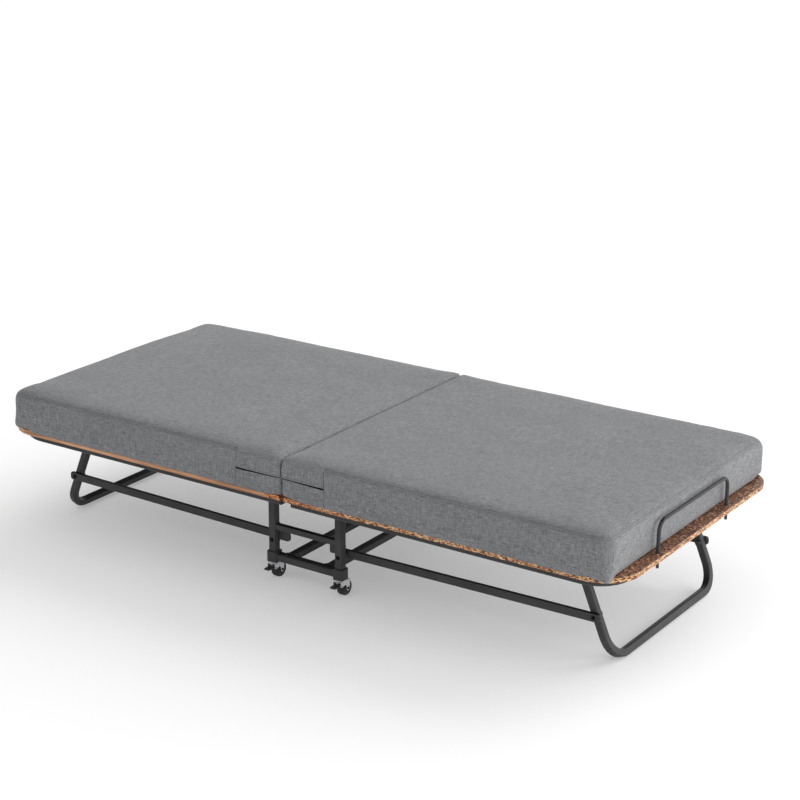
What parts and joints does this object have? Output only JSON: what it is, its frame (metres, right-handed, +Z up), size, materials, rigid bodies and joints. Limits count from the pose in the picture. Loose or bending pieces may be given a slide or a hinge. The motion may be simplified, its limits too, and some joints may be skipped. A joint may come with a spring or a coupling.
{
  "type": "folding rollaway bed",
  "caption": "Folding rollaway bed: a split grey mattress on plywood boards and black steel decks that fold upright on a castored trolley, with linked U-shaped legs.",
  "frame": {"origin": "on the floor under the middle of the bed", "axes": "+X along the bed, +Y across it to the rear side, +Z up"},
  "size_m": [1.956, 0.864, 0.39],
  "materials": {
    "black_steel": "satin",
    "plywood": "satin",
    "grey_fabric": "matte",
    "bright_steel": "gloss",
    "black_fixing": "satin",
    "wheel_rubber": "matte",
    "black_plastic": "matte"
  },
  "bodies": {
    "trolley": {"base_frame": "black_steel", "post_front_left": "black_steel", "post_front_right": "black_steel", "post_rear_left": "black_steel", "post_rear_right": "black_steel", "upper_rail_front": "black_steel", "upper_rail_rear": "black_steel", "caster_plate_front_left": "bright_steel", "caster_plate_front_right": "bright_steel", "caster_plate_rear_left": "bright_steel", "caster_plate_rear_right": "bright_steel", "post_bolt_front_left": "black_fixing", "post_bolt_front_right": "black_fixing", "post_bolt_rear_left": "black_fixing", "post_bolt_rear_right": "black_fixing"},
    "left_deck": {"left_deck_frame": "black_steel", "left_board": "plywood", "left_mattress": "grey_fabric", "left_retainer_bar": "black_steel", "left_retainer_nut_front": "black_fixing", "left_retainer_nut_rear": "black_fixing", "fold_bolt_front_left": "black_fixing", "hinge_bolt_front_left": "black_fixing", "fold_bolt_rear_left": "black_fixing", "hinge_bolt_rear_left": "black_fixing"},
    "left_leg_frame": {"left_leg": "black_steel"},
    "left_links": {"link_front_left": "black_steel", "leg_bolt_front_left": "black_fixing", "link_rear_left": "black_steel", "leg_bolt_rear_left": "black_fixing"},
    "right_deck": {"right_deck_frame": "black_steel", "right_board": "plywood", "right_mattress": "grey_fabric", "right_retainer_bar": "black_steel", "right_retainer_nut_front": "black_fixing", "right_retainer_nut_rear": "black_fixing", "fold_bolt_front_right": "black_fixing", "hinge_bolt_front_right": "black_fixing", "fold_bolt_rear_right": "black_fixing", "hinge_bolt_rear_right": "black_fixing"},
    "right_leg_frame": {"right_leg": "black_steel"},
    "right_links": {"link_front_right": "black_steel", "leg_bolt_front_right": "black_fixing", "link_rear_right": "black_steel", "leg_bolt_rear_right": "black_fixing"},
    "caster_front_left": {"caster_fork_front_left": "bright_steel", "caster_axle_front_left": "black_fixing"},
    "wheel_front_left": {"caster_wheel_front_left": "wheel_rubber"},
    "pedal_left": {"brake_pedal_left": "black_plastic"},
    "caster_front_right": {"caster_fork_front_right": "bright_steel", "caster_axle_front_right": "black_fixing"},
    "wheel_front_right": {"caster_wheel_front_right": "wheel_rubber"},
    "pedal_right": {"brake_pedal_right": "black_plastic"},
    "caster_rear_left": {"caster_fork_rear_left": "bright_steel", "caster_axle_rear_left": "black_fixing"},
    "wheel_rear_left": {"caster_wheel_rear_left": "wheel_rubber"},
    "caster_rear_right": {"caster_fork_rear_right": "bright_steel", "caster_axle_rear_right": "black_fixing"},
    "wheel_rear_right": {"caster_wheel_rear_right": "wheel_rubber"}
  },
  "joints": [
    {"name": "left_fold", "type": "hinge", "parent": "trolley", "child": "left_deck", "pos_m": [-0.1065, 0, 0.2505], "axis": [0, 1, 0], "range_deg": [0, 90], "deforming": ["left_mattress"]},
    {"name": "left_leg_swing", "type": "hinge", "parent": "left_deck", "child": "left_leg_frame", "pos_m": [-0.8, 0, 0.219], "axis": [0, -1, 0], "range_deg": [0, 96.5]},
    {"name": "left_link_swing", "type": "hinge", "parent": "trolley", "child": "left_links", "pos_m": [-0.1075, 0, 0.1125], "axis": [0, 1, 0], "range_deg": [0, 84.62]},
    {"name": "right_fold", "type": "hinge", "parent": "trolley", "child": "right_deck", "pos_m": [0.1065, 0, 0.2505], "axis": [0, -1, 0], "range_deg": [0, 90], "deforming": ["right_mattress"]},
    {"name": "right_leg_swing", "type": "hinge", "parent": "right_deck", "child": "right_leg_frame", "pos_m": [0.8, 0, 0.219], "axis": [0, 1, 0], "range_deg": [0, 96.5]},
    {"name": "right_link_swing", "type": "hinge", "parent": "trolley", "child": "right_links", "pos_m": [0.1075, 0, 0.1125], "axis": [0, -1, 0], "range_deg": [0, 84.62]},
    {"name": "swivel_front_left", "type": "hinge", "parent": "trolley", "child": "caster_front_left", "pos_m": [-0.1075, -0.323, 0.048], "axis": [0, 0, 1], "continuous": true},
    {"name": "roll_front_left", "type": "hinge", "parent": "caster_front_left", "child": "wheel_front_left", "pos_m": [-0.1075, -0.306, 0.0215], "axis": [1, 0, 0], "continuous": true},
    {"name": "brake_left", "type": "hinge", "parent": "caster_front_left", "child": "pedal_left", "pos_m": [-0.1075, -0.3345, 0.0355], "axis": [1, 0, 0], "range_deg": [0, 15]},
    {"name": "swivel_front_right", "type": "hinge", "parent": "trolley", "child": "caster_front_right", "pos_m": [0.1075, -0.323, 0.048], "axis": [0, 0, 1], "continuous": true},
    {"name": "roll_front_right", "type": "hinge", "parent": "caster_front_right", "child": "wheel_front_right", "pos_m": [0.1075, -0.306, 0.0215], "axis": [1, 0, 0], "continuous": true},
    {"name": "brake_right", "type": "hinge", "parent": "caster_front_right", "child": "pedal_right", "pos_m": [0.1075, -0.3345, 0.0355], "axis": [1, 0, 0], "range_deg": [0, 15]},
    {"name": "swivel_rear_left", "type": "hinge", "parent": "trolley", "child": "caster_rear_left", "pos_m": [-0.1075, 0.323, 0.048], "axis": [0, 0, 1], "continuous": true},
    {"name": "roll_rear_left", "type": "hinge", "parent": "caster_rear_left", "child": "wheel_rear_left", "pos_m": [-0.1075, 0.34, 0.0215], "axis": [1, 0, 0], "continuous": true},
    {"name": "swivel_rear_right", "type": "hinge", "parent": "trolley", "child": "caster_rear_right", "pos_m": [0.1075, 0.323, 0.048], "axis": [0, 0, 1], "continuous": true},
    {"name": "roll_rear_right", "type": "hinge", "parent": "caster_rear_right", "child": "wheel_rear_right", "pos_m": [0.1075, 0.34, 0.0215], "axis": [1, 0, 0], "continuous": true}
  ],
  "couplings": [
    {"joint": "left_leg_swing", "follows": "left_fold", "ratio": 1.0722},
    {"joint": "left_link_swing", "follows": "left_fold", "ratio": 0.94016},
    {"joint": "right_leg_swing", "follows": "right_fold", "ratio": 1.0722},
    {"joint": "right_link_swing", "follows": "right_fold", "ratio": 0.94016}
  ]
}
